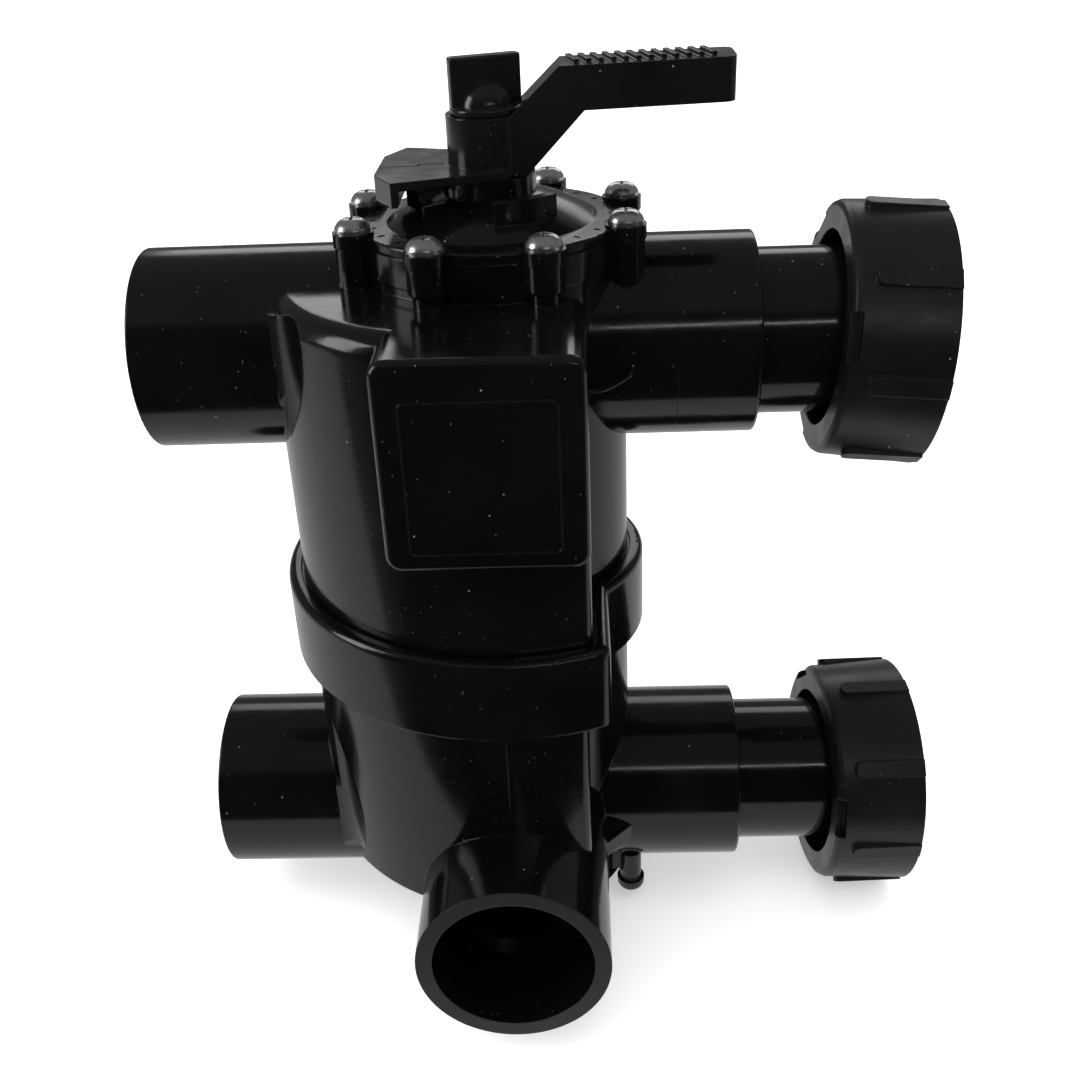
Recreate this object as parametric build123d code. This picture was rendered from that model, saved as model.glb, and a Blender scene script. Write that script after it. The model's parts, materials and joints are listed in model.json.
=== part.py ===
from build123d import *
import os
from math import atan2, sqrt, sin, cos, radians

# Two-level, five-port diverter valve for pool and filter plumbing. Millimetres.
# Origin: centre of the flat underside of the lower housing, on the stem axis.
# +Z is up along the stem, +X points along the two union ports, -Y along the waste port.

# Levels of the two decks of ports
LOWER_Z = 38.0
PORT_PITCH = 203.2
UPPER_Z = LOWER_Z + PORT_PITCH

# Pipe ports: 2 inch pipe goes into each socket
PIPE_R = 30.15
SOCKET_R = 30.25
SOCKET_DEPTH = 38.1
FLOW_R = 26.2
PORT_R = 36.5
MOUTH_ROUND = 1.0
LEFT_END_X = -127.0
RIGHT_END_X = 92.5
FRONT_END_Y = -112.5

# Round valve body and the crossover chamber wrapped round its front and left
BODY_R = 47.0
BORE_R = 43.5
FLOOR_T = 4.0
CHAMBER_R = 82.0
UPPER_SIDE_X = 32.0
LOWER_SIDE_X = 30.0
CHAMBER_BACK_Y = 14.0
CORNER_ROUND = 4.0
ROOT_LEFT_X = -75.5
ROOT_RISE = 24.0
CHAMBER_TOP_Z = UPPER_Z + 28.0
PAD_FACE_Y = -96.5
CHAMBER_BOTTOM_Z = LOWER_Z - 2.8
SHOULDER_ROUND = 8.5
CAVITY_INNER_R = 50.5
CAVITY_OUTER_R = 77.0

# Collar: the glue socket of the lower housing that takes the upper one
COLLAR_TOP_Z = UPPER_Z - 86.0
COLLAR_BOTTOM_Z = UPPER_Z - 118.0
COLLAR_WALL = 6.2
COLLAR_LIP_ROUND = 3.0
SEAT_Z = UPPER_Z - 111.0
GLUE_GAP = 0.1
LEAD_GAP = 1.1

# Lid, its flange and the screws
FLANGE_R = 47.6
FLANGE_BOTTOM_Z = UPPER_Z + 31.3
LID_Z = UPPER_Z + 41.6
LID_TOP_Z = UPPER_Z + 45.0
EAR_TOP_Z = UPPER_Z + 46.4
LID_R = 46.8
SCREW_COUNT = 8
SCREW_CIRCLE_R = 50.2
SCREW_START = 22.5
BOSS_R = 6.6
EAR_R = 7.1
BOSS_BOTTOM_Z = UPPER_Z + 20.0
FRONT_BOSS_BOTTOM_Z = UPPER_Z + 32.0
FRONT_ROOT_R = 5.2
SCREW_R = 2.1
SCREW_HEAD_R = 6.2
SCREW_HEAD_H = 4.4
SCREW_LENGTH = 22.0
DOME_BASE_R = 37.0
DOME_TOP_R = 14.0
DOME_RISE = 9.2
LID_SKIN = 4.0
NECK_R = 16.0
NECK_TOP_Z = UPPER_Z + 60.7

# Stem and handle
STEM_R = 9.5
BUSH_R = 11.2
STEM_LOW_R = 8.0
STEM_SQUARE = 12.0
STEM_BOTTOM_Z = 5.4
HANDLE_Z = UPPER_Z + 61.0
HUB_R = 14.0
HUB_TOP_Z = UPPER_Z + 80.5
ARM_HALF = 11.0
ARM_END_X = 83.3
PLATE_T = 3.0
SKIRT_BOTTOM_Z = UPPER_Z + 55.8
SKIRT_RIB_DROP = 3.6
STOP_INNER_R = 26.0
STOP_OUTER_R = 30.0
STOP_TOP_Z = UPPER_Z + 57.0
HANDLE_TRAVEL = 90.0

# Lock knob, stored turned a little from the arm
KNOB_Z = HUB_TOP_Z + 0.3
KNOB_TOP_Z = UPPER_Z + 99.0
KNOB_ANGLE = 20.0
KNOB_R = 12.4
PADDLE_LENGTH = 24.6
PADDLE_T = 5.6
STUD_R = 3.0

# Diverter decks
ROTOR_R = 42.9
SHOE_T = 4.4
SHOE_HALF_ANGLE = 41.0
DECK_HALF_H = 32.0
LOWER_DECK_Z = LOWER_Z + 2.0

# Union tailpieces and nuts
TAIL_START_X = 54.8
TAIL_FLANGE_X = 135.2
TAIL_FACE_X = 141.7
TAIL_FLANGE_R = 39.5
TAIL_BORE_R = 25.0
NUT_LENGTH = 35.4
NUT_LIP_T = 4.0
NUT_OPENING_R = 35.5
NUT_RELIEF_R = 42.0
NUT_THREAD_R = 41.0
NUT_THREAD_LENGTH = 7.0
NUT_LEFT_R = 45.9
NUT_RIGHT_R = 47.7
NUT_RIBS = 8
NUT_RIB_RISE = 0.7
NOTCH_HALF = 8.5
NOTCH_FLOOR_R = 41.0
NOTCH_DEPTH = 3.6

# How each loose nut hangs: its left face, drop, tilt, turn and spin in degrees
UPPER_NUT_X = 118.5
UPPER_NUT_DROP = 1.35
UPPER_NUT_TILT = 5.2
UPPER_NUT_YAW = 0.4
UPPER_NUT_SPIN = -3.0
LOWER_NUT_X = 127.4
LOWER_NUT_DROP = 1.65
LOWER_NUT_TILT = 1.9
LOWER_NUT_YAW = 4.3
LOWER_NUT_SPIN = 0.0

# Drain under the lower union port
DRAIN_X = 47.0
DRAIN_Y = -25.0
DRAIN_BOSS_R = 4.6
DRAIN_BOTTOM_Z = 0.6
DRAIN_CAP_R = 5.9


def rod(radius, bottom, top, x=0.0, y=0.0):
    """Upright solid cylinder between two heights."""
    return Pos(x, y, (bottom + top) / 2) * Cylinder(radius, top - bottom)


def ring(outer, inner, bottom, top):
    """Upright tube about the stem axis."""
    return rod(outer, bottom, top) - rod(inner, bottom - 1, top + 1)


def block(x0, x1, y0, y1, z0, z1):
    """Box given by its limits."""
    return Pos((x0 + x1) / 2, (y0 + y1) / 2, (z0 + z1) / 2) * Box(x1 - x0, y1 - y0, z1 - z0)


def rod_x(radius, x0, x1, height):
    """Cylinder lying along X at one height."""
    return Pos((x0 + x1) / 2, 0, height) * Rot(0, 90, 0) * Cylinder(radius, x1 - x0)


def rod_y(radius, y0, y1, height):
    """Cylinder lying along Y at one height."""
    return Pos(0, (y0 + y1) / 2, height) * Rot(90, 0, 0) * Cylinder(radius, y1 - y0)


def polar(radius, angle):
    """Point in plan at a radius and an angle in degrees."""
    return (radius * cos(radians(angle)), radius * sin(radians(angle)))


def sector(inner, outer, start, end, bottom, top):
    """Upright arched wall between two radii and two angles."""
    middle = (start + end) / 2
    edges = ThreePointArc(polar(outer, start), polar(outer, middle), polar(outer, end))
    edges += Line(polar(outer, end), polar(inner, end))
    edges += ThreePointArc(polar(inner, end), polar(inner, middle), polar(inner, start))
    edges += Line(polar(inner, start), polar(outer, start))
    return Pos(0, 0, bottom) * extrude(make_face(edges), top - bottom)


def chamber_outline(radius, side_x, back_y, corner):
    """Chamber in plan: an arc from its rounded right-hand corner to its left end."""
    centre = (side_x - corner, -sqrt((radius - corner) ** 2 - (side_x - corner) ** 2))
    reach = sqrt(centre[0] ** 2 + centre[1] ** 2)
    outward = (centre[0] / reach, centre[1] / reach)
    start = (outward[0] * radius, outward[1] * radius)
    half = atan2(outward[1], outward[0]) / 2
    middle = (centre[0] + corner * cos(half), centre[1] + corner * sin(half))
    left = (-sqrt(radius ** 2 - back_y ** 2), back_y)
    edges = ThreePointArc(start, polar(radius, 225), left)
    edges += Polyline(left, (-20, back_y), (side_x, -20), (side_x, centre[1]))
    return make_face(edges + ThreePointArc((side_x, centre[1]), middle, start))


def chamber_prism(grow, side_x, bottom, top):
    """Chamber wall grown outwards between two heights, without the round body."""
    corner = CORNER_ROUND + 0.2 * grow
    outline = chamber_outline(CHAMBER_R + grow, side_x + grow, CHAMBER_BACK_Y + grow, corner)
    return Pos(0, 0, bottom) * extrude(outline, top - bottom)


def round_top_edge(solid, radius):
    """Rounds the longest curved edge at the top, and the edges it runs on into."""
    rims = solid.edges().filter_by(GeomType.CIRCLE).group_by(Axis.Z)[-1]
    return fillet(rims.sort_by(SortBy.LENGTH)[-1], radius)


def crossover_cavity(bottom, top):
    """Water passage inside the chamber that joins the two decks."""
    return sector(CAVITY_INNER_R, CAVITY_OUTER_R, 228, 286, bottom, top)


def rounded_port(port, axis, end_last):
    """Rounds the mouth edge of a port cylinder."""
    rims = port.edges().filter_by(GeomType.CIRCLE).sort_by(axis)
    return fillet(rims[-1] if end_last else rims[0], MOUTH_ROUND)


def left_port(height):
    """Outer cylinder of a left port."""
    return rounded_port(rod_x(PORT_R, LEFT_END_X, -20, height), Axis.X, False)


def right_port(height):
    """Outer cylinder of a right port, started on the stem axis."""
    return rounded_port(rod_x(PORT_R, 0, RIGHT_END_X, height), Axis.X, True)


def side_bores(height):
    """Flow bores and pipe sockets of the left and right ports of one deck."""
    bores = rod_x(FLOW_R, LEFT_END_X, RIGHT_END_X, height)
    bores += rod_x(SOCKET_R, LEFT_END_X - 1, LEFT_END_X + SOCKET_DEPTH, height)
    bores += rod_x(SOCKET_R, RIGHT_END_X - SOCKET_DEPTH, RIGHT_END_X + 1, height)
    return bores


def port_root(height):
    """Root that carries a left port into the chamber, drawn in Y and Z."""
    low, front, top = height - 21.0, -1.5 - PORT_R, height + ROOT_RISE
    profile = Polyline((10, low), (-30, low), (front, height - 4.0), (front, top), (10, top), close=True)
    return extrude(Plane.YZ.offset(ROOT_LEFT_X) * make_face(profile), 37.5)


def saddle_scoop(height):
    """Hollow scooped out of the chamber wall beside a left port."""
    scoop = rod(24.3, height - 60, height + 60, -85.3, -58.6)
    return scoop & rod_x(54.5, -120, -50, height + 19.0)


def screw_places():
    """Plan positions of the lid screws, with each one's angle."""
    step = 360.0 / SCREW_COUNT
    angles = [SCREW_START + step * index for index in range(SCREW_COUNT)]
    return [(polar(SCREW_CIRCLE_R, angle), angle) for angle in angles]


def is_front(angle):
    """True for the two bosses above the front pad."""
    return 240.0 < angle < 300.0


def bosses():
    """Screw columns round the mouth of the upper housing."""
    solids = None
    for (x, y), angle in screw_places():
        bottom = FRONT_BOSS_BOTTOM_Z if is_front(angle) else BOSS_BOTTOM_Z
        boss = rod(BOSS_R, bottom, LID_Z, x, y)
        boss = chamfer(boss.edges().sort_by(Axis.Z)[0], 1.0)
        if is_front(angle):
            boss += rod(FRONT_ROOT_R, BOSS_BOTTOM_Z, bottom + 1, x, y)
        solids = boss if solids is None else solids + boss
    return solids


def boss_holes():
    """Pilot holes for the lid screws."""
    solids = None
    for (x, y), _ in screw_places():
        hole = rod(SCREW_R + 0.05, EAR_TOP_Z - SCREW_LENGTH - 1.0, EAR_TOP_Z + 1, x, y)
        solids = hole if solids is None else solids + hole
    return solids


def front_pad():
    """Flat pad that stands out from the chamber's front, level with its top."""
    left, right, bottom = -34.0, UPPER_SIDE_X, UPPER_Z - 44.0
    middle = ((left + right) / 2, PAD_FACE_Y, (bottom + CHAMBER_TOP_Z) / 2)
    outline = RectangleRounded(right - left, CHAMBER_TOP_Z - bottom, 5.5)
    pad = extrude(Plane(middle, x_dir=(1, 0, 0), z_dir=(0, 1, 0)) * outline, 36.0)
    return fillet(pad.faces().sort_by(Axis.Y)[0].edges(), 3.0)


def upper_housing():
    """Upper deck: two ports, the chamber's top half and the lid's seat."""
    body = round_top_edge(chamber_prism(0.0, UPPER_SIDE_X, SEAT_Z + 0.4, CHAMBER_TOP_Z), SHOULDER_ROUND)
    body += rod(BODY_R, SEAT_Z + 0.4, FLANGE_BOTTOM_Z + 1)
    body += right_port(UPPER_Z)
    body += port_root(UPPER_Z)
    body -= saddle_scoop(UPPER_Z)
    body += left_port(UPPER_Z)
    body += front_pad()
    body += rod(FLANGE_R, FLANGE_BOTTOM_Z, LID_Z)
    body += bosses()
    body -= rod(BORE_R, SEAT_Z - 1, LID_Z + 1)
    body -= crossover_cavity(SEAT_Z - 1, UPPER_Z + 18.0)
    window = rod_y(16.0, -70, -30, UPPER_Z)
    return body - side_bores(UPPER_Z) - window - boss_holes()


def collar():
    """Glue socket round the joint, with a rounded lip."""
    outer = chamber_prism(COLLAR_WALL, UPPER_SIDE_X, COLLAR_BOTTOM_Z, COLLAR_TOP_Z)
    outer = round_top_edge(outer, COLLAR_LIP_ROUND)
    outer += round_top_edge(rod(BODY_R + COLLAR_WALL, COLLAR_BOTTOM_Z, COLLAR_TOP_Z), COLLAR_LIP_ROUND)
    for grow, bottom in ((GLUE_GAP, SEAT_Z), (LEAD_GAP, COLLAR_TOP_Z - 1.6)):
        outer -= chamber_prism(grow, UPPER_SIDE_X, bottom, COLLAR_TOP_Z + 1)
        outer -= rod(BODY_R + grow, bottom, COLLAR_TOP_Z + 1)
    return outer


def port_web():
    """Level gusset in the corner between the waste port and the right-hand port."""
    corner = Polyline((28, -30), (28, -47.5), (PORT_R, -47.5), (47.0, -PORT_R), (47.0, -30), close=True)
    return Pos(0, 0, LOWER_Z - 7.0) * extrude(make_face(corner), 7.0)


def drain_boss():
    """Small column under the lower right port, with its side web."""
    boss = rod(DRAIN_BOSS_R, DRAIN_BOTTOM_Z, LOWER_Z - 24.0, DRAIN_X, DRAIN_Y)
    web = block(DRAIN_X - 9.0, DRAIN_X, DRAIN_Y - 1.2, DRAIN_Y + 1.2, 4.0, LOWER_Z - 22.0)
    return boss + web


def lower_housing():
    """Lower deck: three ports, the chamber's lower half, collar and drain."""
    body = rod(BODY_R, 0, SEAT_Z) + chamber_prism(0.0, LOWER_SIDE_X, CHAMBER_BOTTOM_Z, SEAT_Z)
    body += collar()
    body += rod_y(PORT_R, FRONT_END_Y, 0, LOWER_Z)
    body += right_port(LOWER_Z)
    body += port_root(LOWER_Z)
    body -= saddle_scoop(LOWER_Z)
    body += left_port(LOWER_Z)
    body += port_web() + drain_boss()
    body -= rod(BORE_R, FLOOR_T, SEAT_Z + 1)
    body -= crossover_cavity(LOWER_Z, SEAT_Z + 1)
    body -= rod_y(FLOW_R, FRONT_END_Y - 1, -30, LOWER_Z)
    body -= rod_y(SOCKET_R, FRONT_END_Y - 1, FRONT_END_Y + SOCKET_DEPTH, LOWER_Z)
    body -= rod(2.2, DRAIN_BOTTOM_Z - 1, LOWER_Z - 20.0, DRAIN_X, DRAIN_Y)
    return body - side_bores(LOWER_Z)


def dome(skin):
    """Domed middle of the lid, or its hollow inside when skin is above zero."""
    base, top, rise = DOME_BASE_R - skin, DOME_TOP_R, DOME_RISE
    low, high = LID_TOP_Z - skin - 3.0, LID_TOP_Z - skin + rise
    crown = (base + top) / 2, LID_TOP_Z - skin + rise * 0.66
    edges = Line((0, low), (base, low)) + Line((base, low), (base, low + 3.0))
    edges += ThreePointArc((base, low + 3.0), crown, (top, high))
    edges += Line((top, high), (0, high)) + Line((0, high), (0, low))
    return revolve(Plane.XZ * make_face(edges), Axis.Z)


def stop_walls():
    """Two arched stops on the lid for the lug under the handle."""
    low = LID_TOP_Z + 1.0
    travel_end = 180.0 + HANDLE_TRAVEL
    walls = sector(STOP_INNER_R, STOP_OUTER_R, travel_end + 5.0, travel_end + 51.0, low, STOP_TOP_Z)
    return walls + sector(STOP_INNER_R, STOP_OUTER_R, 129.0, 175.0, low, STOP_TOP_Z)


def lid():
    """Cover with its screw ears, dome, neck and stops."""
    body = rod(LID_R, LID_Z, LID_TOP_Z)
    body = fillet(body.edges().sort_by(Axis.Z)[-1], 1.0)
    body += rod(BORE_R - 0.2, LID_Z - 7.0, LID_Z)
    for (x, y), _ in screw_places():
        body += rod(EAR_R, LID_Z, EAR_TOP_Z, x, y)
    body += dome(0.0) + stop_walls()
    body += rod(NECK_R, LID_TOP_Z, NECK_TOP_Z)
    body += Rot(0, 0, 220) * block(13.0, 28.5, -0.8, 0.8, LID_TOP_Z + 1.0, LID_TOP_Z + 8.6)
    body -= dome(LID_SKIN)
    body -= rod(DOME_BASE_R - LID_SKIN, LID_Z - 8, LID_Z)
    body += rod(DOME_TOP_R + 1.5, LID_Z - 4, LID_TOP_Z + 7)
    body -= rod(BUSH_R, LID_Z - 9, NECK_TOP_Z + 1)
    body -= ring(BORE_R + 1, BORE_R - 2.4, LID_Z - 4.8, LID_Z - 2.2)
    return body - boss_holes()


def o_ring(radius, section, height):
    """Round-section ring about the stem axis."""
    return Pos(0, 0, height) * Torus(radius, section)


def pan_head_screw(x, y):
    """Pan-head screw with a cross recess, its head on the lid's ear."""
    r, h, z = SCREW_HEAD_R, SCREW_HEAD_H, EAR_TOP_Z
    edges = Line((0, 0), (r, 0)) + Line((r, 0), (r, h * 0.3))
    edges += ThreePointArc((r, h * 0.3), (r * 0.72, h * 0.83), (0, h)) + Line((0, h), (0, 0))
    head = revolve(Plane.XZ * make_face(edges), Axis.Z)
    head -= block(-2.9, 2.9, -0.5, 0.5, h - 1.7, h + 1) + block(-0.5, 0.5, -2.9, 2.9, h - 1.7, h + 1)
    return Pos(x, y, z) * head + rod(SCREW_R, z - SCREW_LENGTH, z, x, y)


def lid_screws():
    """Eight screws as separate solids."""
    return Compound(children=[pan_head_screw(x, y) for (x, y), _ in screw_places()])


def stem_bush():
    """Plain bearing pressed into the lid's neck."""
    body = ring(BUSH_R - 0.05, STEM_R + 0.06, LID_Z - 3.0, NECK_TOP_Z - 1.0)
    return body - ring(STEM_R + 1.2, STEM_R - 1, LID_Z + 4.0, LID_Z + 6.4)


def stem():
    """Shaft from the bottom bush to the square that drives the handle."""
    body = rod(STEM_LOW_R, STEM_BOTTOM_Z, LID_Z - 9.0)
    body += rod(STEM_R, LID_Z - 9.0, HANDLE_Z)
    body += block(-STEM_SQUARE / 2, STEM_SQUARE / 2, -STEM_SQUARE / 2, STEM_SQUARE / 2,
                  HANDLE_Z, HUB_TOP_Z - 4.0)
    body -= ring(STEM_R + 1, STEM_R - 1.5, LID_Z - 6.0, LID_Z - 4.4)
    body -= rod(STUD_R + 0.05, HANDLE_Z - 16, HUB_TOP_Z)
    for height in (LOWER_DECK_Z, UPPER_Z):
        body -= rod_x(2.05, -20, 20, height)
    return body


def stem_circlip():
    """Spring ring that keeps the stem from rising."""
    clip = ring(STEM_R + 1.8, STEM_R - 1.4, LID_Z - 5.9, LID_Z - 4.5)
    return clip - block(0, 20, -2.5, 2.5, LID_Z - 8, LID_Z - 3)


def diverter(height, angle):
    """One deck's rotor: a hub, two rims and a shoe that closes one port."""
    low, high = height - DECK_HALF_H, height + DECK_HALF_H
    body = ring(13.0, STEM_LOW_R + 0.05, low, high)
    for bottom in (low, high - 3.0):
        body += ring(ROTOR_R, 33.0, bottom, bottom + 3.0)
        spokes = block(-35, 35, -4, 4, bottom, bottom + 3.0) + block(-4, 4, -35, 35, bottom, bottom + 3.0)
        body += spokes - rod(12.0, bottom - 1, bottom + 4)
    body += sector(ROTOR_R - SHOE_T, ROTOR_R, angle - SHOE_HALF_ANGLE, angle + SHOE_HALF_ANGLE, low, high)
    body -= rod_x(2.05, -20, 20, height)
    return body - seal_band(height, angle, 3.0, 0.0, 2.4)


def seal_band(height, angle, outward, gap, width):
    """Round loop standing out of the shoe's face about the port it closes."""
    reach = ROTOR_R + outward
    loop = rod_x(28.6 + width / 2 - gap, ROTOR_R - 12, reach, height)
    loop -= rod_x(28.6 - width / 2 + gap, ROTOR_R - 13, reach + 1, height)
    return Rot(0, 0, angle) * (loop - rod(ROTOR_R - 1.6 + gap, height - 40, height + 40))


def diverter_seal(height, angle):
    """Moulded seal set in the shoe's face."""
    return seal_band(height, angle, 6.0, 0.05, 2.4) & rod(BORE_R - 0.08, height - 40, height + 40)


def diverter_pin(height):
    """Cross pin that drives a diverter from the stem."""
    return rod_x(2.0, -12.8, 12.8, height)


def deck_divider():
    """Plate between the decks, seated on the step at the glued joint."""
    middle = SEAT_Z + 8.0
    body = ring(BORE_R - 0.1, STEM_LOW_R + 0.3, middle - 3.0, middle + 3.0)
    return body - ring(BORE_R + 1, BORE_R - 2.2, middle - 1.4, middle + 1.4)


def bottom_bush():
    """Bearing cup in the floor that holds the foot of the stem."""
    return rod(13.0, FLOOR_T, FLOOR_T + 3.6) - rod(STEM_LOW_R + 0.06, FLOOR_T + 1.2, FLOOR_T + 9)


def arm_profile():
    """Side outline of the cranked arm, drawn in X and Z."""
    knee_low, knee_high = (33.3, UPPER_Z + 81.8), (25.2, UPPER_Z + 96.0)
    points = [(0, HANDLE_Z), (13.4, HANDLE_Z), knee_low, (ARM_END_X, UPPER_Z + 83.0),
              (ARM_END_X, UPPER_Z + 97.2), knee_high, (8.6, HUB_TOP_Z), (0, HUB_TOP_Z)]
    return make_face(Polyline(points, close=True))


def handle_arm():
    """Cranked arm, rounded at its end and cored out underneath."""
    arm = extrude(Plane.XZ.offset(ARM_HALF) * arm_profile(), -2 * ARM_HALF)
    ends = arm.edges().filter_by(Axis.Z).sort_by(Axis.X)[-2:]
    arm = fillet(ends, 4.0)
    under = UPPER_Z + 80.0
    for x0, x1 in ((36.0, 50.0), (52.0, 66.0), (68.0, 79.5)):
        arm -= block(x0, x1, -ARM_HALF + 3, ARM_HALF - 3, under, UPPER_Z + 93.0)
    return arm


def pointer_plate(thick_bottom, thick_top, inset):
    """Fan-shaped pointer in plan, pulled in by an inset, between two heights."""
    points = [(7.5, -15.2), (7.5, 15.2), (-31.5, 28.0), (-38.0, 14.0), (-38.0, -15.0), (-31.0, -28.0)]
    face = make_face(Polyline(points, close=True))
    if inset:
        face = offset(face, -inset)
    return Pos(0, 0, thick_bottom) * extrude(face, thick_top - thick_bottom)


def pointer():
    """Pointer plate with the skirt and the rib that hang from its outer end."""
    top = HANDLE_Z + PLATE_T
    plate = pointer_plate(HANDLE_Z, top, 0.0)
    skirt = pointer_plate(SKIRT_BOTTOM_Z, HANDLE_Z + 1, 0.0) - pointer_plate(SKIRT_BOTTOM_Z - 1, HANDLE_Z, 2.6)
    skirt -= block(-29.0, 40.0, -40, 40, SKIRT_BOTTOM_Z - 1, HANDLE_Z)
    skirt += block(-36.2, -31.2, -12.0, 14.0, SKIRT_BOTTOM_Z - SKIRT_RIB_DROP, HANDLE_Z + 1)
    body = plate + skirt
    body -= block(-33.0, -24.0, -3.4, -2.7, top - 0.5, top + 1)
    body -= block(-24.6, -24.0, -3.4, -0.6, top - 0.5, top + 1)
    body -= block(-24.6, -15.5, -1.2, -0.5, top - 0.5, top + 1)
    return body + sector(STOP_INNER_R, STOP_OUTER_R, 176.5, 183.5, UPPER_Z + 55.6, HANDLE_Z + 1)


def grip_ribs():
    """Row of raised ribs on top of the arm."""
    ribs = None
    for index in range(12):
        x = 29.5 + 4.1 * index
        z = UPPER_Z + 96.0 + (x - 25.2) * 0.0207
        rib = Pos(x, 0, z) * Rot(0, 0, 12) * Box(1.7, 14.0, 2.6)
        ribs = rib if ribs is None else ribs + rib
    return ribs


def handle():
    """Hub, arm and pointer moulded in one."""
    body = rod(HUB_R, HANDLE_Z, HUB_TOP_Z)
    body += handle_arm() - rod(KNOB_R + 1.0, HUB_TOP_Z, UPPER_Z + 110)
    body += pointer() + grip_ribs()
    half = STEM_SQUARE / 2 + 0.05
    body -= block(-half, half, -half, half, HANDLE_Z - 1, HUB_TOP_Z - 3.9)
    return body - rod(STUD_R + 0.3, HANDLE_Z, HUB_TOP_Z + 1)


def lock_stud():
    """Threaded stud between the stem and the lock knob."""
    return rod(STUD_R, HANDLE_Z - 15.5, HUB_TOP_Z + 9.0)


def knob_paddle():
    """Flat grip of the lock knob with rounded edges."""
    paddle = block(-PADDLE_LENGTH / 2, PADDLE_LENGTH / 2, -PADDLE_T / 2, PADDLE_T / 2,
                   KNOB_Z + 1.0, KNOB_TOP_Z)
    paddle = fillet(paddle.edges().filter_by(Axis.Z), 1.4)
    return fillet(paddle.faces().sort_by(Axis.Z)[-1].edges(), 0.8)


def lock_knob():
    """Wing knob that clamps the handle."""
    body = rod(KNOB_R, KNOB_Z, KNOB_Z + 2.2)
    body = fillet(body.edges().sort_by(Axis.Z)[-1], 0.8)
    hump = Pos(0, 0, KNOB_Z + 1.2) * Sphere(9.6)
    body += hump & rod(12.0, KNOB_Z, KNOB_Z + 20)
    body += knob_paddle()
    body = Rot(0, 0, KNOB_ANGLE) * body
    return body - rod(STUD_R + 0.05, KNOB_Z - 1, HUB_TOP_Z + 9.6)


def tailpiece(height):
    """Glued pipe stub with the sealing flange that the nut pulls on."""
    body = rod_x(PIPE_R, TAIL_START_X, TAIL_FLANGE_X + 1, height)
    body += rod_x(TAIL_FLANGE_R, TAIL_FLANGE_X, TAIL_FACE_X, height)
    body -= rod_x(TAIL_BORE_R, TAIL_START_X - 1, TAIL_FACE_X + 1, height)
    groove = rod_x(35.0, TAIL_FACE_X - 2.2, TAIL_FACE_X + 1, height)
    return body - (groove - rod_x(31.0, TAIL_FACE_X - 3, TAIL_FACE_X + 2, height))


def union_oring(height):
    """Face seal in the tailpiece's groove."""
    return Pos(TAIL_FACE_X - 0.75, 0, height) * Rot(0, 90, 0) * Torus(33.0, 1.4)


def nut_profile():
    """Half section of a union nut about X, with its left face at zero."""
    thread_start = NUT_LENGTH - NUT_THREAD_LENGTH
    return make_face(Polyline([
        (0.0, NUT_OPENING_R), (NUT_LIP_T, NUT_OPENING_R), (NUT_LIP_T, NUT_RELIEF_R),
        (thread_start, NUT_RELIEF_R), (thread_start, NUT_THREAD_R), (NUT_LENGTH, NUT_THREAD_R),
        (NUT_LENGTH, NUT_RIGHT_R), (2.5, NUT_LEFT_R), (0.8, NUT_LEFT_R - 0.8), (0.0, NUT_LEFT_R - 2.5),
    ], close=True))


def nut_solid():
    """Union nut with grip ribs and three spanner notches, its left face at zero."""
    body = revolve(nut_profile(), Axis.X)
    rib = block(7.0, NUT_LENGTH, -3.4, 3.4, NUT_RIGHT_R - 3.0, NUT_RIGHT_R + NUT_RIB_RISE)
    rib = fillet(rib.edges().filter_by(Axis.Z).sort_by(Axis.X)[:2], 3.0)
    for index in range(NUT_RIBS):
        body += Rot(97 + 45.0 * index, 0, 0) * rib
    notch = block(-1, NOTCH_DEPTH, -NOTCH_HALF, NOTCH_HALF, NOTCH_FLOOR_R, 50.0)
    for index in range(3):
        body -= Rot(78 + 120.0 * index, 0, 0) * notch
    return body


def union_nut(left_x, height, tilt, yaw, spin):
    """Union nut as it hangs on the tailpiece's flange."""
    seat_x = (TAIL_FLANGE_X + TAIL_FACE_X) / 2
    hang = Pos(seat_x, 0, height) * Rot(0, 0, yaw) * Rot(0, tilt, 0)
    return hang * Rot(spin, 0, 0) * Pos(left_x - seat_x, 0, 0) * nut_solid()


def hung_nut(upper):
    """The upper or the lower union nut in its stored pose."""
    if upper:
        height = UPPER_Z - UPPER_NUT_DROP
        return union_nut(UPPER_NUT_X, height, UPPER_NUT_TILT, UPPER_NUT_YAW, UPPER_NUT_SPIN)
    height = LOWER_Z - LOWER_NUT_DROP
    return union_nut(LOWER_NUT_X, height, LOWER_NUT_TILT, LOWER_NUT_YAW, LOWER_NUT_SPIN)


def drain_cap():
    """Round-ended cap on the drain column."""
    body = rod(DRAIN_CAP_R, DRAIN_BOTTOM_Z - 7.4, DRAIN_BOTTOM_Z - 1.2, DRAIN_X, DRAIN_Y)
    body = fillet(body.edges().sort_by(Axis.Z)[0], 4.0)
    return body + rod(2.1, DRAIN_BOTTOM_Z - 2, DRAIN_BOTTOM_Z + 8.0, DRAIN_X, DRAIN_Y)


def drain_gasket():
    """Flat washer between the drain cap and its column."""
    flat = rod(DRAIN_BOSS_R, DRAIN_BOTTOM_Z - 1.1, DRAIN_BOTTOM_Z - 0.1, DRAIN_X, DRAIN_Y)
    return flat - rod(2.2, DRAIN_BOTTOM_Z - 2, DRAIN_BOTTOM_Z + 1, DRAIN_X, DRAIN_Y)


def crossover_divider():
    """Upright wall that splits the crossover passage in two."""
    low, high = LOWER_Z + 30.0, UPPER_Z - 22.0
    wall = block(CAVITY_INNER_R + 0.5, CAVITY_OUTER_R - 0.5, -1.6, 1.6, low, high)
    return Rot(0, 0, 240) * wall


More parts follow.
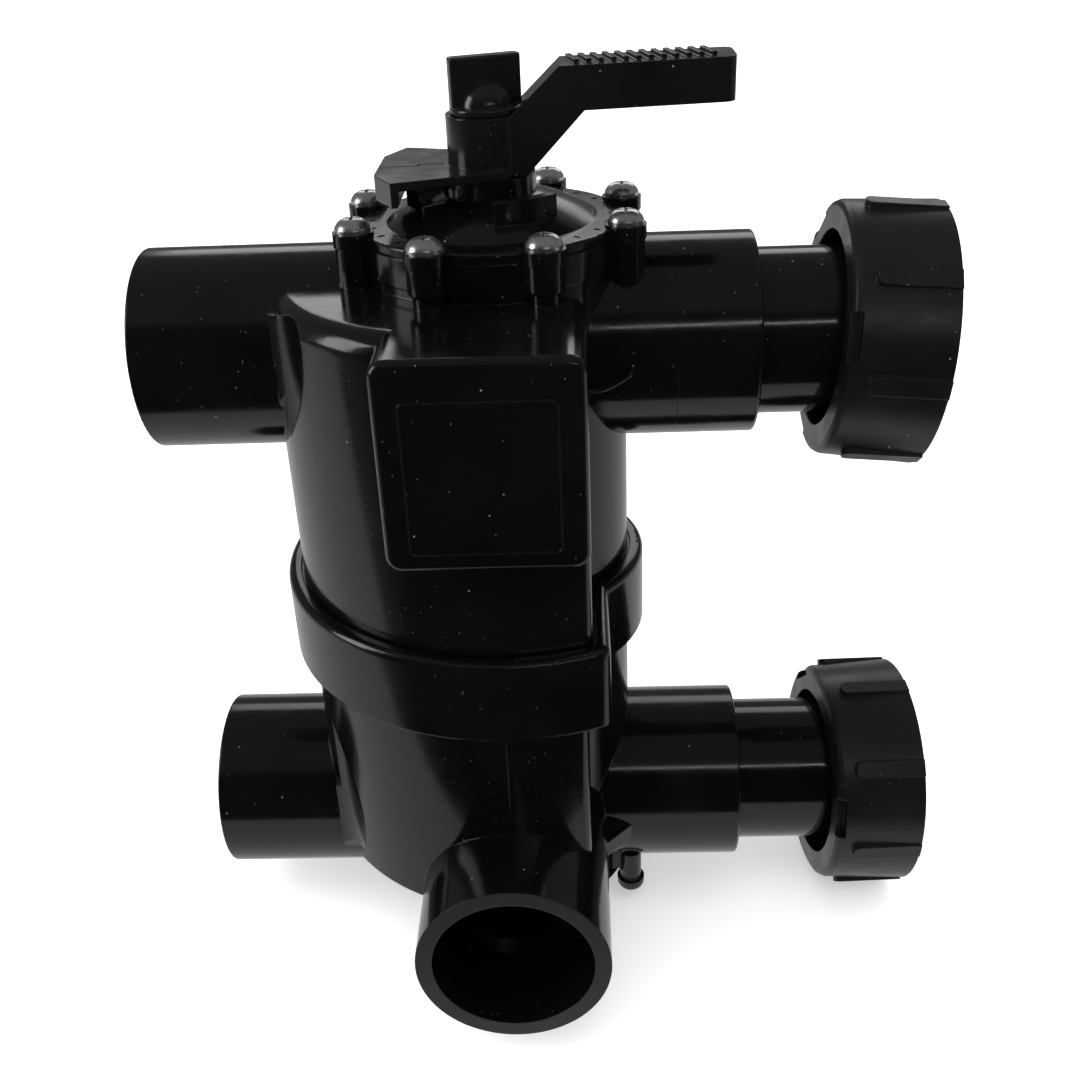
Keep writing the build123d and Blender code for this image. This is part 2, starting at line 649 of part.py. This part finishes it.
def all_parts():
    """Every node's name and solid."""
    clip_ring_z = LID_Z + 5.2
    divider_z = SEAT_Z + 8.0
    return {
        "lower_housing": lower_housing(),
        "upper_housing": upper_housing(),
        "crossover_divider": crossover_divider(),
        "deck_divider": deck_divider(),
        "deck_divider_oring": o_ring(BORE_R - 1.2, 1.0, divider_z),
        "lid": lid(),
        "lid_oring": o_ring(BORE_R - 1.2, 1.05, LID_Z - 3.5),
        "lid_screws": lid_screws(),
        "stem_bush": stem_bush(),
        "stem_oring": o_ring(STEM_R + 0.6 + 0.02, 0.5, clip_ring_z),
        "bottom_bush": bottom_bush(),
        "stem": stem(),
        "stem_circlip": stem_circlip(),
        "upper_diverter": diverter(UPPER_Z, 270.0),
        "upper_diverter_seal": diverter_seal(UPPER_Z, 270.0),
        "upper_diverter_pin": diverter_pin(UPPER_Z),
        "lower_diverter": diverter(LOWER_DECK_Z, 90.0),
        "lower_diverter_seal": diverter_seal(LOWER_DECK_Z, 90.0),
        "lower_diverter_pin": diverter_pin(LOWER_DECK_Z),
        "handle": handle(),
        "lock_stud": lock_stud(),
        "lock_knob": lock_knob(),
        "upper_tailpiece": tailpiece(UPPER_Z),
        "upper_union_oring": union_oring(UPPER_Z),
        "upper_union_nut": hung_nut(True),
        "lower_tailpiece": tailpiece(LOWER_Z),
        "lower_union_oring": union_oring(LOWER_Z),
        "lower_union_nut": hung_nut(False),
        "drain_cap": drain_cap(),
        "drain_gasket": drain_gasket(),
    }


os.makedirs("parts", exist_ok=True)
for name, solid in all_parts().items():
    export_step(solid, f"parts/{name}.step")
    print(name, round(solid.volume), len(solid.solids()))
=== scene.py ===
import bmesh
import bpy
import json
from math import cos, pi, radians, sin, tau
from mathutils import Matrix, Vector

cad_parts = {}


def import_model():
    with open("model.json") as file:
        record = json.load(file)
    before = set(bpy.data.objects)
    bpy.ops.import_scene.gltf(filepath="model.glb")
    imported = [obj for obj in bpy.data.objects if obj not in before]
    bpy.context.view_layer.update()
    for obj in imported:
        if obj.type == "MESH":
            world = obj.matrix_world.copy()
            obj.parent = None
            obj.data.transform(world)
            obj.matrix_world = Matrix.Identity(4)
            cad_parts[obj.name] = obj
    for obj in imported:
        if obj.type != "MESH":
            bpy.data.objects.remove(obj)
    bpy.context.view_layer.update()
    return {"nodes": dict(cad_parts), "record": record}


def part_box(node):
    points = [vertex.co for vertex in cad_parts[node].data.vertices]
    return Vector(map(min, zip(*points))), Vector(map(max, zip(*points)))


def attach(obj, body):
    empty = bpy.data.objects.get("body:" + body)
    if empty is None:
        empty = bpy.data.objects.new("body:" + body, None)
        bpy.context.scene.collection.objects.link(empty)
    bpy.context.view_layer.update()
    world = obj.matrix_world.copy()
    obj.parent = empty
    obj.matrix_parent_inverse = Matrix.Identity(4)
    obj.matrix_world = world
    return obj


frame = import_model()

NODES = frame["nodes"]
MM = 0.001

# Places on the part, in metres
FLOOR_Z = -13.5 * MM
LEFT_MOUTH_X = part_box("upper_housing")[0].x
FRONT_MOUTH_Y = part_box("lower_housing")[0].y
UPPER_AXIS_Z = sum(corner.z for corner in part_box("upper_tailpiece")) / 2
LOWER_AXIS_Z = sum(corner.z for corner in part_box("lower_tailpiece")) / 2
PORT_R = 36.5 * MM
CHAMBER_FRONT_Y = -82.0 * MM
PAD_FACE_Y = -96.5 * MM
COLLAR_BOTTOM_Z = 122.0 * MM
LID_RIM_Z = 286.2 * MM

# Colours, linear
BLACK = (0.0016, 0.0017, 0.0018)
HANDLE_BLACK = (0.0034, 0.0034, 0.0035)
NUT_BLACK = (0.0036, 0.0038, 0.0039)
INNER_BLACK = (0.012, 0.012, 0.012)
SAWN_GREY = (0.009, 0.0092, 0.0092)
DUST_GREY = (0.16, 0.155, 0.145)
STEEL_LIGHT = (0.80, 0.79, 0.76)
STEEL_DARK = (0.60, 0.58, 0.55)
RUBBER_DARK = (0.008, 0.008, 0.008)
RUBBER_BLOOM = (0.03, 0.03, 0.029)


# ---------------------------------------------------------------- materials

def mapped(tree, source, low, high, out_low, out_high):
    """Maps a factor to a new range and returns its output socket."""
    node = tree.nodes.new("ShaderNodeMapRange")
    node.inputs["From Min"].default_value = low
    node.inputs["From Max"].default_value = high
    node.inputs["To Min"].default_value = out_low
    node.inputs["To Max"].default_value = out_high
    tree.links.new(source, node.inputs["Value"])
    return node.outputs["Result"]


def noise(tree, coords, scale, detail=4.0, rough=0.55):
    """Noise factor at a scale in features per metre."""
    node = tree.nodes.new("ShaderNodeTexNoise")
    node.inputs["Scale"].default_value = scale
    node.inputs["Detail"].default_value = detail
    node.inputs["Roughness"].default_value = rough
    tree.links.new(coords, node.inputs["Vector"])
    return node.outputs["Fac"]


def mix_colour(tree, factor, first, second):
    """Mixes two colours; a colour is a socket or a triple."""
    node = tree.nodes.new("ShaderNodeMix")
    node.data_type = "RGBA"
    tree.links.new(factor, node.inputs["Factor"])
    for socket, colour in (("A", first), ("B", second)):
        target = [s for s in node.inputs if s.name == socket and s.type == "RGBA"][0]
        if isinstance(colour, bpy.types.NodeSocket):
            tree.links.new(colour, target)
        else:
            target.default_value = (*colour, 1.0)
    return [s for s in node.outputs if s.type == "RGBA"][0]


def add(tree, first, second, operation="ADD"):
    """Math on two sockets, or on a socket and a number."""
    node = tree.nodes.new("ShaderNodeMath")
    node.operation = operation
    for index, value in enumerate((first, second)):
        if isinstance(value, bpy.types.NodeSocket):
            tree.links.new(value, node.inputs[index])
        else:
            node.inputs[index].default_value = value
    return node.outputs[0]


def specks(tree, coords, scale, size, share):
    """Small round specks of dust: one in some of the cells."""
    cells = tree.nodes.new("ShaderNodeTexVoronoi")
    cells.inputs["Scale"].default_value = scale
    cells.inputs["Randomness"].default_value = 1.0
    tree.links.new(coords, cells.inputs["Vector"])
    near = mapped(tree, cells.outputs["Distance"], size, size * 0.45, 0.0, 1.0)
    split = tree.nodes.new("ShaderNodeSeparateColor")
    tree.links.new(cells.outputs["Color"], split.inputs["Color"])
    chosen = mapped(tree, split.outputs["Red"], share, share * 0.7, 0.0, 1.0)
    return add(tree, near, chosen, "MULTIPLY")


def base_material(name, roughness, metallic=0.0, specular=0.5):
    """Material with one Principled shader, and its object coordinates."""
    material = bpy.data.materials.new(name)
    material.use_nodes = True
    tree = material.node_tree
    shader = tree.nodes["Principled BSDF"]
    shader.inputs["Roughness"].default_value = roughness
    shader.inputs["Metallic"].default_value = metallic
    shader.inputs["Specular IOR Level"].default_value = specular
    coords = tree.nodes.new("ShaderNodeTexCoord").outputs["Object"]
    return material, tree, shader, coords


def bump_chain(tree, shader, layers, edge_radius):
    """Rounds edges and stacks bump layers of (height, strength, distance)."""
    bevel = tree.nodes.new("ShaderNodeBevel")
    bevel.samples = 6
    bevel.inputs["Radius"].default_value = edge_radius
    normal = bevel.outputs["Normal"]
    for height, strength, distance in layers:
        bump = tree.nodes.new("ShaderNodeBump")
        bump.inputs["Strength"].default_value = strength
        bump.inputs["Distance"].default_value = distance
        tree.links.new(height, bump.inputs["Height"])
        tree.links.new(normal, bump.inputs["Normal"])
        normal = bump.outputs["Normal"]
    tree.links.new(normal, shader.inputs["Normal"])


def cut_mouths(tree, coords):
    """Factor that is one on the sawn end faces of the left and front ports."""
    split = tree.nodes.new("ShaderNodeSeparateXYZ")
    tree.links.new(coords, split.inputs[0])
    near, far = 0.12 * MM, 0.06 * MM
    left = mapped(tree, split.outputs["X"], LEFT_MOUTH_X + near, LEFT_MOUTH_X + far, 0.0, 1.0)
    front = mapped(tree, split.outputs["Y"], FRONT_MOUTH_Y + near, FRONT_MOUTH_Y + far, 0.0, 1.0)
    return add(tree, left, front, "MAXIMUM")


def moulded(name, colour, rough, spread, edge=0.8, peel=0.05, dust=0.5, grain=0.0, mouths=False):
    """Moulded black plastic: faint flow marks, uneven gloss, dust, scuffs and rounded edges."""
    material, tree, shader, coords = base_material(name, rough)
    flow = noise(tree, coords, 26.0, 3.0)
    fine = noise(tree, coords, 950.0, 2.0)
    smear = noise(tree, coords, 75.0, 6.0, 0.7)
    dark = tuple(channel * 0.7 for channel in colour)
    light = tuple(channel * 1.5 for channel in colour)
    tone = mix_colour(tree, mapped(tree, flow, 0.3, 0.7, 0.0, 1.0), dark, light)
    motes = specks(tree, coords, 210.0, 0.085, 0.24 * dust)
    small = specks(tree, coords, 520.0, 0.10, 0.34 * dust)
    dirt = add(tree, motes, small, "MAXIMUM")
    tone = mix_colour(tree, dirt, tone, DUST_GREY)
    gloss = mapped(tree, smear, 0.35, 0.72, rough - spread, rough + spread)
    gloss = add(tree, gloss, add(tree, dirt, 0.4, "MULTIPLY"))
    if mouths:
        sawn = cut_mouths(tree, coords)
        tone = mix_colour(tree, sawn, tone, SAWN_GREY)
        gloss = add(tree, gloss, add(tree, sawn, 0.35, "MULTIPLY"))
    tree.links.new(tone, shader.inputs["Base Color"])
    tree.links.new(gloss, shader.inputs["Roughness"])
    layers = [(flow, 0.12, 0.0006), (fine, peel, 0.00005)]
    if grain:
        layers.append((noise(tree, coords, 2600.0, 2.0), grain, 0.00006))
    layers.append((dirt, 0.3, 0.00008))
    bump_chain(tree, shader, layers, edge * MM)
    return material


def steel(name, rough, scale):
    """Stainless steel with turned marks and a few dull spots."""
    material, tree, shader, coords = base_material(name, rough, 1.0)
    wear = noise(tree, coords, scale, 5.0, 0.65)
    tone = mix_colour(tree, mapped(tree, wear, 0.35, 0.7, 0.0, 1.0), STEEL_LIGHT, STEEL_DARK)
    tree.links.new(tone, shader.inputs["Base Color"])
    tree.links.new(mapped(tree, wear, 0.3, 0.75, rough - 0.05, rough + 0.16), shader.inputs["Roughness"])
    bump_chain(tree, shader, [(wear, 0.08, 0.00006)], 0.25 * MM)
    return material


def rubber(name):
    """Dull black rubber with a powdery bloom."""
    material, tree, shader, coords = base_material(name, 0.7, 0.0, 0.35)
    bloom = noise(tree, coords, 300.0, 5.0, 0.7)
    tone = mix_colour(tree, mapped(tree, bloom, 0.4, 0.75, 0.0, 1.0), RUBBER_DARK, RUBBER_BLOOM)
    tree.links.new(tone, shader.inputs["Base Color"])
    bump_chain(tree, shader, [(bloom, 0.2, 0.0001)], 0.2 * MM)
    return material


MATERIALS = {
    "housing": moulded("housing_plastic", BLACK, 0.15, 0.05, mouths=True),
    "lid": moulded("lid_plastic", BLACK, 0.18, 0.05, dust=0.8),
    "handle": moulded("handle_plastic", HANDLE_BLACK, 0.17, 0.05, edge=0.7, peel=0.03, grain=0.04),
    "tailpiece": moulded("tailpiece_plastic", BLACK, 0.13, 0.04, edge=0.5),
    "nut": moulded("nut_plastic", NUT_BLACK, 0.36, 0.07, edge=0.9, grain=0.15),
    "inner_plastic": moulded("inner_plastic", INNER_BLACK, 0.5, 0.05, edge=0.4, grain=0.2),
    "seal": rubber("seal_rubber"),
    "screw_steel": steel("stainless_steel", 0.24, 900.0),
}
SLOT_OF = {part["node"]: part["material_slot"] for part in frame["record"]["subparts"]}

for node_name, node_object in NODES.items():
    node_object.data.materials.clear()
    node_object.data.materials.append(MATERIALS[SLOT_OF[node_name]])


# ---------------------------------------------------------------- moulded lines

PROFILE_STEPS = 6
CORNER_STEPS = 6
SINK = 0.12 * MM
END_SIZE = 0.4
LID_MARKS = 24


def bead(name, slot_name, path, width, height, closed=False):
    """Low half-round ridge swept along (point, surface normal) pairs, tapered at open ends."""
    mesh = bmesh.new()
    rings = []
    last = len(path) - 1
    for index, (point, normal) in enumerate(path):
        before = path[index - 1][0] if closed or index else point
        after = path[(index + 1) % len(path)][0] if closed or index < last else point
        side = (after - before).cross(normal).normalized()
        size = 1.0 if closed or 0 < index < last else END_SIZE
        ring = []
        for step in range(PROFILE_STEPS + 1):
            angle = pi * step / PROFILE_STEPS
            shift = side * cos(angle) * width / 2 + normal * sin(angle) * height
            ring.append(mesh.verts.new(point + shift * size - normal * SINK))
        rings.append(ring)
    pairs = list(zip(rings, rings[1:]))
    if closed:
        pairs.append((rings[-1], rings[0]))
    else:
        mesh.faces.new(rings[0])
        mesh.faces.new(rings[-1][::-1])
    for first, second in pairs:
        for step in range(PROFILE_STEPS + 1):
            following = (step + 1) % (PROFILE_STEPS + 1)
            mesh.faces.new((first[step], second[step], second[following], first[following]))
    bmesh.ops.recalc_face_normals(mesh, faces=mesh.faces)
    data = bpy.data.meshes.new(name)
    mesh.to_mesh(data)
    mesh.free()
    data.materials.append(MATERIALS[slot_name])
    thing = bpy.data.objects.new(name, data)
    bpy.context.scene.collection.objects.link(thing)
    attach(thing, "housing")


def straight(start, end, normal, steps=8):
    """Path along a straight line."""
    start, end = Vector(start), Vector(end)
    return [(start.lerp(end, step / steps), Vector(normal)) for step in range(steps + 1)]


def rounded_loop(x0, x1, z0, z1, radius, y):
    """Closed path round a rectangle with rounded corners on a face towards -Y."""
    path = []
    corners = ((x1, z1, 0), (x0, z1, 1), (x0, z0, 2), (x1, z0, 3))
    for corner_x, corner_z, quarter in corners:
        centre_x = corner_x - radius if corner_x == x1 else corner_x + radius
        centre_z = corner_z - radius if corner_z == z1 else corner_z + radius
        for step in range(CORNER_STEPS + 1):
            angle = pi / 2 * (quarter + step / CORNER_STEPS)
            point = Vector((centre_x + radius * cos(angle), y, centre_z + radius * sin(angle)))
            path.append((point, Vector((0, -1, 0))))
    return path


def on_port(x, angle, axis_z):
    """Point and normal on a horizontal port's outside, by angle up from the front."""
    normal = Vector((0, -cos(angle), sin(angle)))
    return Vector((x, 0, axis_z)) + normal * PORT_R, normal


def pad_frame():
    """Thin raised frame line on the face of the blank label pad."""
    path = rounded_loop(-25.3 * MM, 23.0 * MM, 204.2 * MM, 256.1 * MM, 2.0 * MM, PAD_FACE_Y)
    bead("pad_frame", "housing", path, 0.9 * MM, 0.55 * MM, closed=True)


def port_rib():
    """Curved flow rib beside the pad, on the front of the upper right port."""
    start_x, length = 31.0, 17.2
    start_rise, climb, steps = -7.2, 7.4, 16
    path = []
    for step in range(steps + 1):
        share = step / steps
        rise = start_rise + climb * share ** 1.9
        path.append(on_port((start_x + length * share) * MM, rise * MM / PORT_R, UPPER_AXIS_Z))
    bead("port_rib", "housing", path, 3.0 * MM, 2.6 * MM)


def port_seams():
    """Hairline joints round the upper port and down the front of the lower chamber."""
    seam_x, reach, steps = 63.6 * MM, radians(75), 40
    angles = [reach * (2 * step / steps - 1) for step in range(steps + 1)]
    around = [on_port(seam_x, angle, UPPER_AXIS_Z) for angle in angles]
    bead("upper_port_seam", "housing", around, 0.4 * MM, 0.22 * MM)
    port_top = LOWER_AXIS_Z + PORT_R
    corner = (0, CHAMBER_FRONT_Y, port_top)
    down = straight((0, CHAMBER_FRONT_Y, COLLAR_BOTTOM_Z), corner, (0, -1, 0))
    bead("chamber_seam", "housing", down, 0.5 * MM, 0.26 * MM)
    along = straight(corner, (0, FRONT_MOUTH_Y + 1.2 * MM, port_top), (0, 0, 1))
    bead("front_port_seam", "housing", along, 0.5 * MM, 0.26 * MM)


def lid_marks():
    """Row of plain travel marks round the lid's rim."""
    for index in range(LID_MARKS):
        angle = tau * index / LID_MARKS
        outward = Vector((cos(angle), sin(angle), 0))
        start, end = outward * 40.6 * MM, outward * 43.8 * MM
        start.z = end.z = LID_RIM_Z
        path = straight(start, end, (0, 0, 1), 4)
        bead(f"lid_mark_{index:02d}", "lid", path, 0.9 * MM, 0.4 * MM)


pad_frame()
port_rib()
port_seams()
lid_marks()


# ---------------------------------------------------------------- studio

FLOOR_SIZE = 28.0
TABLE_FRONT_Y = -0.17
TABLE_GLOW = 0.62
SKY_POWER = 1.6
MIRRORED_CEILING = 0.13
MIRRORED_DARK_SIDE = 0.012


def plane(name, x0, x1, y0, y1, z):
    """Flat rectangle, used for the studio floor and table."""
    mesh = bpy.data.meshes.new(name)
    mesh.from_pydata([(x0, y0, z), (x1, y0, z), (x1, y1, z), (x0, y1, z)], [], [(0, 1, 2, 3)])
    thing = bpy.data.objects.new(name, mesh)
    bpy.context.scene.collection.objects.link(thing)
    return thing


def floor():
    """Large pale floor."""
    pale = bpy.data.materials.new("floor_paint")
    pale.use_nodes = True
    shader = pale.node_tree.nodes["Principled BSDF"]
    shader.inputs["Base Color"].default_value = (0.9, 0.9, 0.9, 1.0)
    shader.inputs["Roughness"].default_value = 0.9
    shader.inputs["Specular IOR Level"].default_value = 0.1
    shader.inputs["Emission Color"].default_value = (1.0, 1.0, 1.0, 1.0)
    shader.inputs["Emission Strength"].default_value = 0.35
    half = FLOOR_SIZE / 2
    ground = plane("studio_floor", -half, half, -half, half, FLOOR_Z)
    ground.data.materials.append(pale)
    ground.visible_glossy = False


def table():
    """Finite white table that only glossy surfaces see, so their mirror images have an end."""
    glow = bpy.data.materials.new("table_glow")
    glow.use_nodes = True
    tree = glow.node_tree
    tree.nodes.clear()
    emission = tree.nodes.new("ShaderNodeEmission")
    emission.inputs["Strength"].default_value = TABLE_GLOW
    output = tree.nodes.new("ShaderNodeOutputMaterial")
    tree.links.new(emission.outputs[0], output.inputs["Surface"])
    top = plane("studio_table", -1.6, 1.6, TABLE_FRONT_Y, 2.6, FLOOR_Z - 1 * MM)
    top.data.materials.append(glow)
    top.visible_camera = False
    top.visible_diffuse = False
    top.visible_shadow = False
    top.visible_transmission = False


def area_light(name, place, aim, size, power):
    """Soft rectangular light aimed at a point."""
    data = bpy.data.lights.new(name, "AREA")
    data.shape = "RECTANGLE"
    data.size, data.size_y = size
    data.energy = power
    light = bpy.data.objects.new(name, data)
    light.location = place
    light.rotation_euler = (Vector(aim) - Vector(place)).to_track_quat("-Z", "Y").to_euler()
    light.visible_camera = False
    bpy.context.scene.collection.objects.link(light)


def sky_light():
    """Even soft light from above that glossy surfaces don't mirror."""
    data = bpy.data.lights.new("sky_light", "SUN")
    data.energy = SKY_POWER
    data.angle = radians(70)
    light = bpy.data.objects.new("sky_light", data)
    light.rotation_euler = (radians(12), radians(-14), 0)
    light.visible_glossy = False
    bpy.context.scene.collection.objects.link(light)


def world():
    """Pale room for the camera; for reflections a soft ceiling with a dark side behind the camera."""
    scene_world = bpy.data.worlds.new("studio")
    bpy.context.scene.world = scene_world
    scene_world.use_nodes = True
    tree = scene_world.node_tree
    background = tree.nodes["Background"]
    direction = tree.nodes.new("ShaderNodeTexCoord").outputs["Generated"]
    split = tree.nodes.new("ShaderNodeSeparateXYZ")
    tree.links.new(direction, split.inputs[0])
    y, z = split.outputs["Y"], split.outputs["Z"]
    front = mapped(tree, y, -0.30, -0.50, 0.0, 1.0)
    low = mapped(tree, z, 0.72, 0.60, 0.0, 1.0)
    dark = add(tree, front, low, "MULTIPLY")
    room = mapped(tree, dark, 0.0, 1.0, MIRRORED_CEILING, MIRRORED_DARK_SIDE)
    path = tree.nodes.new("ShaderNodeLightPath")
    glossy = path.outputs["Is Glossy Ray"]
    seen = add(tree, 1.0, glossy, "SUBTRACT")
    strength = add(tree, seen, add(tree, glossy, room, "MULTIPLY"))
    tree.links.new(strength, background.inputs["Strength"])
    background.inputs["Color"].default_value = (1.0, 1.0, 1.0, 1.0)


floor()
table()
world()
sky_light()
area_light("strip_front", (0.27, -0.65, 0.60), (0.1, 0, 0.15), (0.46, 0.010), 0.20)
area_light("box_left", (-1.3, -0.25, 0.75), (-0.05, 0, 0.2), (0.5, 0.9), 6.0)
area_light("box_back", (0.1, 1.6, 1.0), (0, 0, 0.2), (1.6, 0.5), 3.8)


# ---------------------------------------------------------------- camera

CAMERA_PLACE = (0.02946, -0.4473, 0.40211)
CAMERA_YAW = -2.22
CAMERA_PITCH = 28.85
CAMERA_ROLL = -2.43
LENS = 42.4


def camera():
    """Camera placed by position, yaw to the right, pitch down and roll, in degrees."""
    place = Vector(CAMERA_PLACE)
    yaw, pitch, roll = radians(CAMERA_YAW), radians(CAMERA_PITCH), radians(CAMERA_ROLL)
    forward = Vector((sin(yaw) * cos(pitch), cos(yaw) * cos(pitch), -sin(pitch)))
    right = Vector((cos(yaw), -sin(yaw), 0.0))
    up = right.cross(forward)
    side = right * cos(roll) + up * sin(roll)
    top = up * cos(roll) - right * sin(roll)
    data = bpy.data.cameras.new("camera")
    data.lens = LENS
    data.sensor_width = 36.0
    data.clip_start = 0.01
    thing = bpy.data.objects.new("camera", data)
    rotation = Matrix((side, top, -forward)).transposed().to_4x4()
    thing.matrix_world = Matrix.Translation(place) @ rotation
    bpy.context.scene.collection.objects.link(thing)
    bpy.context.scene.camera = thing


camera()
bpy.context.scene.view_settings.view_transform = "Standard"
